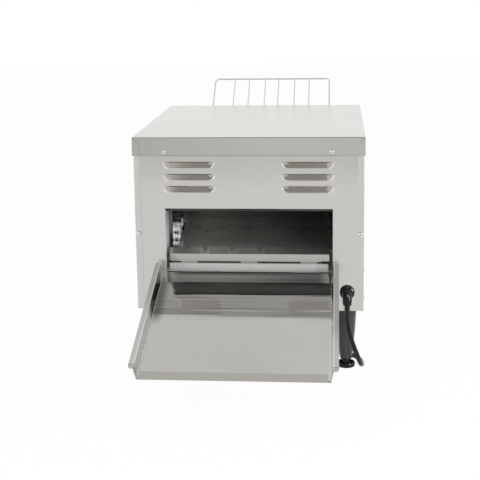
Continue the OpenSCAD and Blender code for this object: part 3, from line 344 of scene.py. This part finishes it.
def tray_steel():
    """The catch tray's polished sheet. It is made in zones over two distances: run, from the rear panel
    out to the end lip, and across, from the tray's middle to its walls and lips."""
    n = steel("tray_steel", (0.49, 0.485, 0.465), low=0.025, high=0.05, grain="y", depth=0.75)
    flat = n.source("Normal")
    run = n.minus(n.axis("Y"), REAR_Y)
    across = n.size(n.minus(n.axis("X"), TRAY_X))
    lips = n.rise(across, TRAY_LIPS, TRAY_LIPS + 0.5 * MM)
    wall = n.least(n.rise(across, TRAY_FOOT, TRAY_FOOT + 0.4 * MM), n.inverse(lips))
    fold = n.band(across, TRAY_FOOT - 0.8 * MM, TRAY_FOOT - 0.4 * MM,
                  TRAY_FOOT + 0.2 * MM, TRAY_FOOT + 0.6 * MM)
    far = n.rise(run, 115 * MM, 140 * MM)
    near = n.drop(run, 45 * MM, 65 * MM)
    streaky = n.band(run, 55 * MM, 70 * MM, 118 * MM, 136 * MM)
    lit = n.least(wall, far)

    # tones, painted light and shade: the root under the chute, the wall's stretches and fold, the lips, the
    # end lip
    # painted shadow: near black in the gap under the chute, then dim out to 30 mm, darkest towards -X
    root_shadow = n.blend(n.rise(run, 6 * MM, 10 * MM), 0.10, n.spread(n.axis("X"), 0.16, 0.5, -90 * MM, 20 * MM))
    sides = n.rise(n.size(n.axis("X")), 112 * MM, 132 * MM)
    n.shade(n.blend(n.most(n.rise(run, 30 * MM, 34 * MM), sides), root_shadow, 1.0))
    # painted shade: the floor beside the +X wall, and that wall, darkened out to about 115 mm
    dim = n.times(n.rise(run, 10 * MM, 30 * MM), n.inverse(far))
    n.shade(n.blend(n.times(dim, n.rise(n.axis("X"), 121 * MM, 132 * MM)), 1.0, 0.40))
    # painted light: the wall beyond about 115 mm made lighter, and less metallic below
    n.tint(lit, (0.60, 0.60, 0.59))
    # painted highlight along the fold at the wall's foot
    n.tint(n.times(fold, 0.7), (0.72, 0.72, 0.70))
    # painted light: the lips lighter than the floor, and less metallic below
    n.tint(lips, (0.62, 0.61, 0.59))
    n.tint(n.rise(across, TRAY_LIPS + 1.9 * MM, TRAY_LIPS + 2.4 * MM), (0.45, 0.44, 0.42))
    # painted shade: the end lip darker and warmer than the floor, and a dark line in the crease before it
    n.tint(n.rise(run, END_LIP_RUN, END_LIP_RUN + 0.6 * MM), (0.40, 0.385, 0.355))
    crease_shade = n.band(run, END_LIP_RUN - 2.4 * MM, END_LIP_RUN - 1.8 * MM,
                    END_LIP_RUN - 0.6 * MM, END_LIP_RUN)
    n.shade(n.blend(crease_shade, 1.0, 0.45))

    # sheen
    metal = n.blend(n.most(lips, fold), n.blend(n.most(near, wall), 1.0, 0.95), 0.75)
    n.link(n.blend(lit, metal, 0.45), n.shader.inputs["Metallic"])
    n.lay_rough(n.most(near, streaky), 0.10)
    n.lay_rough(lips, 0.2)

    # relief: the floor's dips, the shallow waves of a large flat pan, and finer ones across it
    fall = n.times(run, -DIP_START)
    for place, change in DIP_CHANGES:
        past = n.most(n.minus(run, place), 0.0)
        fall = n.minus(fall, n.times(n.times(past, past), change / 2))
    n.bump(fall, 1.0, 1.0)
    n.bump(n.noise((9.0, 6.0, 6.0), detail=1.0), 1.0, 1.2 * MM)
    n.bump(n.times(streaky, n.noise((3.0, 80.0, 1.0), detail=2.0)), 1.0, 0.6 * MM)
    n.lay_normal(lips, flat)
    return n


def plastic(name, tint, rough=0.4, grain=2500.0, depth=0.15, light=1.35, gloss=0.5):
    """Moulded plastic or rubber: a fine grain, a little dust and rubbed sheen."""
    n = Nodes(name)
    n.set(Specular_IOR_Level=gloss)
    fine = n.noise(grain, detail=2.0)
    dust = n.noise(26.0, detail=5.0, rough=0.65)
    dusty = tuple(min(1.0, c * light + 0.004) for c in tint)
    n.color(n.mix(n.rise(dust, 0.4, 0.75), tint, dusty))
    n.rough(n.math("ADD", n.spread(dust, rough - 0.06, rough + 0.08), n.spread(fine, -0.03, 0.03)))
    n.bump(fine, depth, 0.06 * MM)
    return n


BLACK = (0.004, 0.004, 0.0045)
MATS = {
    "panel": steel("side_steel", STEEL),
    "rear": panel_steel(),
    "lid": lid_steel(),
    "chute": chute_steel(),
    "sill": steel("sill_steel", (0.65, 0.64, 0.625), low=0.42, high=0.52, metal=0.5),
    # painted highlight: the louvres' bright rims
    "rim": steel("rim_highlight_steel", (0.93, 0.93, 0.92), low=0.1, high=0.16, depth=0.03),
    "tray": tray_steel(),
    "inner": steel("inner_steel", STEEL, low=0.1, high=0.17, dull=0.05, metal=0.86),
    # painted light: the chamber's walls lighter, bluer and less metallic than the inner steel
    "wall": steel("lit_wall_steel", (0.85, 0.86, 0.88), low=0.3, high=0.42, grain="z", dull=0.1, metal=0.3),
    # painted shade: the rear guide's steel near black, for the shade under the opening's top
    "guide": steel("guide_shade_steel", (0.10, 0.098, 0.095), low=0.4, high=0.55, dull=0.12),
    "bare": steel("bare_steel", (0.50, 0.49, 0.47), low=0.18, high=0.34, dull=0.1),
    "wire": steel("bright_wire", (0.70, 0.70, 0.69), low=0.16, high=0.28, depth=0.05),
    "zinc": steel("zinc_plate", (0.74, 0.74, 0.72), low=0.1, high=0.18, grain="y", depth=0.06),
    "lid_screw": screw_zinc("lid_screw_zinc", "Y", "lid_screws"),
    "panel_screw": screw_zinc("panel_screw_zinc", "Y", "panel_screws"),
    "side_screw": screw_zinc("side_screw_zinc", "X", "side_screws"),
    "chain": chain_steel(),
    "bronze": steel("bronze", (0.50, 0.30, 0.13), low=0.3, high=0.45, dull=0.15),
    "ceramic": plastic("ceramic", (0.72, 0.69, 0.62), rough=0.55, light=0.9),
    "quartz": plastic("quartz", (0.62, 0.60, 0.56), rough=0.18, grain=600.0, depth=0.03, light=1.1),
    "motor": plastic("motor_enamel", (0.03, 0.03, 0.033), rough=0.35),
    "black": plastic("black_plastic", BLACK, rough=0.12, light=1.1, gloss=0.2),
    "leg": plastic("leg_plastic", (0.018, 0.0185, 0.02), rough=0.16, grain=1800.0, gloss=0.35),
    "rubber": plastic("cord_rubber", BLACK, rough=0.16, grain=3200.0, light=1.1, gloss=0.2),
    "terminal": plastic("terminal_plastic", (0.66, 0.63, 0.55), rough=0.45, light=0.9),
    "lamp": plastic("lamp_amber", (0.75, 0.25, 0.02), rough=0.15, light=1.1),
}

# the nodes of the model that each material covers
NODE_MATS = {
    "panel": ["left_side_panel", "right_side_panel", "front_panel", "rack_brackets"],
    "rear": ["rear_panel"],
    "lid": ["lid", "base_pan", "crumb_tray"],
    "chute": ["toast_chute"],
    "sill": ["chamber_floor"],
    "tray": ["catch_tray"],
    "inner": ["inner_roof", "lower_reflector", "belt_supports"],
    "wall": ["left_chamber_wall", "right_chamber_wall"],
    "guide": ["rear_guide"],
    "bare": ["chute_pins", "drive_shaft", "drive_belt_sprockets", "drive_chain_sprocket", "idler_shaft",
             "idler_belt_sprockets", "motor_shaft", "motor_sprocket"],
    "wire": ["conveyor_belt", "feed_rack"],
    "zinc": ["motor_bracket", "leg_nuts", "motor_screws", "drive_shaft_clips", "idler_shaft_clips"],
    "lid_screw": ["lid_screws"],
    "panel_screw": ["panel_screws"],
    "side_screw": ["side_screws"],
    "chain": ["drive_chain"],
    "bronze": ["shaft_bushings"],
    "ceramic": ["element_caps"],
    "quartz": ["upper_elements", "lower_elements"],
    "motor": ["gear_motor"],
    "black": ["selector_switch", "speed_control", "cord_gland", "cord_tie", "plug", "speed_knob",
              "selector_knob", "front_left_foot", "rear_left_foot", "front_right_foot", "rear_right_foot"],
    "leg": ["legs"],
    "rubber": ["strain_relief"],
    "terminal": ["terminal_block"],
    "lamp": ["pilot_lamps"],
}
for key, nodes in NODE_MATS.items():
    for node in nodes:
        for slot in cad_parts[node].material_slots:
            slot.material = MATS[key].mat


# ---------- cord ----------
# Its route is that of part.scad, in millimetres with y from the rear panel. The three outermost points lie
# 0.4 mm further in, because the smooth curve swings out a little past them.
CORD_ROUTE = [
    (GLAND_X / MM, 16.5, BOOT_Z / MM), (-156.5, 16.5, 108), (-157, 16.5, 96), (-158.5, 16.5, 84),
    (-162, 16, 68), (-166.5, 14, 52), (-171.5, 10, 38), (-176, 3, 24),
    (-179.6, -8, 13), (-181.6, -23, 7.5), (-181.1, -40, 4.8), (-177, -58, 4.2),
    (-167, -73, 4.2), (-152, -84, 4.2), (-134, -91, 4.2), (-115, -96, 4.2),
    (-95, -100, 4.4), (-77, -101.5, 4.7)]
CORD_TAIL = [(-11, -168, 11.5), (-12, -186, 8), (-16, -202, 5.5), (-22, -217, 5.2)]
COIL_CENTRE = (-60, -150)
COIL_RADIUS = 48
COIL_Z = 5
COIL_TURNS = 3.25
COIL_STEP = 8.0   # from one turn to the next, beside it or above it
# the stretches of the coil, in turns, where the cord goes in by a step, up by one and out by one
GOES_IN, GOES_UP, GOES_OUT = (0.72, 1.0), (1.45, 1.78), (2.3, 2.75)
POINTS_PER_TURN = 14


def ease(t, stretch):
    """A smooth step from 0 to 1 over a stretch."""
    start, stop = stretch
    u = min(1, max(0, (t - start) / (stop - start)))
    return u * u * (3 - 2 * u)


def coil_point(t):
    """A point of the coil, t turns from its start."""
    radius = COIL_RADIUS - COIL_STEP * ease(t, GOES_IN) + COIL_STEP * ease(t, GOES_OUT)
    angle = math.pi / 2 - 2 * math.pi * t
    return (COIL_CENTRE[0] + radius * math.cos(angle), COIL_CENTRE[1] + radius * math.sin(angle),
            COIL_Z + COIL_STEP * ease(t, GOES_UP))


def cord_points():
    """Down from the boot, in under the body, round the coil in two layers, and the tail to the plug."""
    count = round(COIL_TURNS * POINTS_PER_TURN)
    coil = [coil_point(i / POINTS_PER_TURN) for i in range(count + 1)]
    return [Vector((x * MM, REAR_Y + y * MM, z * MM)) for x, y, z in CORD_ROUTE + coil + CORD_TAIL]


def new_curve(name, radius, roundness, steps):
    """A round wire along splines that are added later."""
    curve = bpy.data.curves.new(name, "CURVE")
    curve.dimensions = "3D"
    curve.bevel_depth = radius
    curve.bevel_resolution = roundness
    curve.resolution_u = steps
    return curve


def make_cord():
    points = cord_points()
    curve = new_curve("power_cord_lead", 4 * MM, roundness=5, steps=6)
    spline = curve.splines.new("BEZIER")
    spline.bezier_points.add(len(points) - 1)
    for bend, point in zip(spline.bezier_points, points):
        bend.co = point
        bend.handle_left_type = bend.handle_right_type = "AUTO"
    lead = add_object("power_cord_lead", curve)
    curve.materials.append(MATS["rubber"].mat)
    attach(lead, "chassis")
    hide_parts("power_cord", "cord_coil", "cord_tail")
    return lead


lead = make_cord()


# ---------- pressed and folded details, and the louvres' rims of painted highlight ---
def rim_path():
    """One louvre's rim from end to end, in millimetres from the middle of its top, with the wire's radius,
    which is greatest at the rounded corners."""
    height = LOUVRE["height"]
    reach = LOUVRE["width"] / 2 - height
    corner = [math.radians(angle) for angle in range(8, 98, 15)]
    half = [(reach + height * math.cos(a), height * math.sin(a), 0.25 + 0.6 * math.sin(2 * a) ** 2)
            for a in corner]
    half = [(half[0][0], 0.5, 0.15)] + half + [(reach / 2, height, 0.25)]
    return half + [(-x, drop, radius) for x, drop, radius in reversed(half)]


def make_louvre_rims():
    """Bright rims round the foot of each louvre's hood: a painted highlight for the light that the hoods'
    rounded ends and foot catch.
    """
    curve = new_curve("louvre_rims", MM, roundness=3, steps=4)
    path = rim_path()
    for side, row in itertools.product((-1, 1), range(LOUVRE["rows"])):
        top = LOUVRE["top"] - row * LOUVRE["pitch"]
        spline = curve.splines.new("POLY")
        spline.points.add(len(path) - 1)
        for point, (x, drop, radius) in zip(spline.points, path):
            point.co = ((side * LOUVRE["x"] + x) * MM, REAR_Y + 0.1 * MM, (top - drop) * MM, 1)
            point.radius = radius
    rims = add_object("louvre_rims", curve)
    curve.materials.append(MATS["rim"].mat)
    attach(rims, "chassis")


def make_strip(name, low, high, mat):
    """A thin sheet strip with rounded edges."""
    mesh = bpy.data.meshes.new(name)
    shape = bmesh.new()
    bmesh.ops.create_cube(shape, size=1.0)
    bmesh.ops.scale(shape, vec=high - low, verts=shape.verts)
    bmesh.ops.bevel(shape, geom=shape.edges[:], offset=min(high - low) / 4, segments=2, affect="EDGES")
    bmesh.ops.translate(shape, vec=(low + high) / 2, verts=shape.verts)
    shape.to_mesh(mesh)
    shape.free()
    strip = add_object(name, mesh)
    mesh.materials.append(MATS[mat].mat)
    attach(strip, "chassis")


def make_folds():
    """The sill's folded top edge, which runs in under the chute's lip, and the hem of that lip."""
    chute_lo, chute_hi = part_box("toast_chute")
    left, right = chute_hi.x - 2.5 * MM, chute_lo.x + 2.5 * MM
    make_strip("sill_fold", Vector((right, chute_hi.y + 0.5 * MM, SILL_END.z)),
               Vector((left, SILL_END.y - 0.3 * MM, SILL_END.z + 0.8 * MM)), "inner")
    lip_z = SILL_END.z + LIP_GAP
    make_strip("chute_hem", Vector((right + 10 * MM, chute_hi.y + 0.02 * MM, lip_z - 1.2 * MM)),
               Vector((left, chute_hi.y + 0.4 * MM, lip_z + 0.8 * MM)), "chute")


make_louvre_rims()
make_folds()


# ---------- floor, world and light ----------
AMBIENT = 0.5
CEILING_START, CEILING_STOP = 0.93, 0.985   # the sines of the heights between which the white room dims
CEILING = 0.45   # the ceiling's strength
FLOOR_HALF = 6.0
FLOOR_GLOW = 0.96   # how far the camera and the metal see the floor as plain white
# the black mouldings, which need small bright lamps to show their gloss
GLOSSY_NODES = ["cord_gland", "strain_relief", "legs", "rear_right_foot", "rear_left_foot", "plug"]


def make_stage():
    """A pale floor that catches soft shadows and looks white to the camera and in metal."""
    n = Nodes("floor")
    n.set(Roughness=0.9, Base_Color=(0.82, 0.82, 0.82, 1))
    glow = n.tree.nodes.new("ShaderNodeEmission")
    glow.inputs["Color"].default_value = (1, 1, 1, 1)
    mixer = n.tree.nodes.new("ShaderNodeMixShader")
    rays = n.tree.nodes.new("ShaderNodeLightPath").outputs
    seen = n.most(rays["Is Camera Ray"], n.most(rays["Is Glossy Ray"], rays["Is Transmission Ray"]))
    n.link(n.times(seen, FLOOR_GLOW), mixer.inputs[0])
    n.link(n.shader.outputs[0], mixer.inputs[1])
    n.link(glow.outputs[0], mixer.inputs[2])
    n.link(mixer.outputs[0], n.out.inputs["Surface"])
    mesh = bpy.data.meshes.new("floor")
    s = FLOOR_HALF
    mesh.from_pydata([(-s, -s, 0), (s, -s, 0), (s, s, 0), (-s, s, 0)], [], [(0, 1, 2, 3)])
    mesh.materials.append(n.mat)
    floor = add_object("floor", mesh)
    floor.location.z = -0.5 * MM


def make_world():
    """White for the camera and in metal, with a dim ceiling, and a plain level of light for the rest."""
    world = bpy.data.worlds.new("world")
    bpy.context.scene.world = world
    world.use_nodes = True
    tree = world.node_tree
    tree.nodes.clear()

    def node(kind, links=(), **values):
        n = tree.nodes.new(kind)
        for key, v in values.items():
            n.inputs[key.replace("_", " ")].default_value = v
        for source, socket in links:
            tree.links.new(source, n.inputs[socket])
        return n

    def add(a, b):
        n = node("ShaderNodeMath", [(a, 0), (b, 1)])
        n.use_clamp = True
        return n.outputs[0]

    up = node("ShaderNodeSeparateXYZ", [(node("ShaderNodeTexCoord").outputs["Generated"], 0)]).outputs["Z"]
    ceiling = node("ShaderNodeMapRange", [(up, "Value")], From_Min=CEILING_START, From_Max=CEILING_STOP,
                   To_Min=1.0, To_Max=CEILING)
    light = node("ShaderNodeBackground", Color=(1, 1, 1, 1), Strength=AMBIENT)
    seen = node("ShaderNodeBackground", [(ceiling.outputs[0], "Strength")], Color=(1, 1, 1, 1))
    rays = node("ShaderNodeLightPath").outputs
    direct = add(rays["Is Camera Ray"], add(rays["Is Glossy Ray"], rays["Is Transmission Ray"]))
    mixer = node("ShaderNodeMixShader", [(direct, 0), (light.outputs[0], 1), (seen.outputs[0], 2)])
    node("ShaderNodeOutputWorld", [(mixer.outputs[0], "Surface")])


def area(name, place, aim, size, power, mirrored=True, only=()):
    """A soft box. One that isn't mirrored lights paint and plastic, and metal shows the white room instead.
    only holds the pieces that it lights, where it doesn't light them all."""
    data = bpy.data.lights.new(name, "AREA")
    data.shape = "RECTANGLE"
    data.size, data.size_y = size
    data.energy = power
    lamp = add_object(name, data)
    lamp.location = place
    lamp.rotation_euler = (Vector(aim) - Vector(place)).to_track_quat("-Z", "Y").to_euler()
    lamp.visible_glossy = mirrored
    lamp.visible_camera = False
    if only:
        lit = bpy.data.collections.new(name + "_lit")
        for piece in only:
            lit.objects.link(piece)
        lamp.light_linking.receiver_collection = lit


def make_lamps():
    """Three large soft boxes for the diffuse light, side and back boxes that metal mirrors too, and small
    bright ones for the glints on the black mouldings."""
    body = (0, 0.1, 0.2)
    cord = (-0.15, 0.15, 0.1)
    area("key", place=(-0.9, 1.6, 2.2), aim=body, size=(1.6, 1.2), power=20, mirrored=False)
    area("top", place=(0.2, 0.75, 2.4), aim=(0, 0.1, 0.3), size=(2.4, 0.8), power=16, mirrored=False)
    area("front", place=(-1.5, 1.7, 0.75), aim=(0, 0.1, 0.22), size=(0.7, 0.7), power=18, mirrored=False)
    area("left_strip", place=(1.5, 0.75, 0.6), aim=body, size=(0.25, 1.2), power=5)
    area("right_strip", place=(-1.5, 0.75, 0.6), aim=body, size=(0.25, 1.2), power=5)
    glossy = [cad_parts[name] for name in GLOSSY_NODES] + [lead]
    area("spark", place=(-0.5, 1.6, 2.3), aim=body, size=(0.3, 0.3), power=40, only=glossy)
    area("left_glint", place=(1.1, 1.9, 0.9), aim=cord, size=(0.1, 1.6), power=40, only=glossy)
    area("right_glint", place=(-1.5, 1.0, 0.9), aim=cord, size=(0.12, 1.6), power=40, only=glossy)
    area("back", place=(0, -3.0, 0.95), aim=(0, 0, 0.4), size=(4.0, 1.6), power=4.5)


make_stage()
make_world()
make_lamps()
bpy.context.scene.view_settings.view_transform = "Standard"
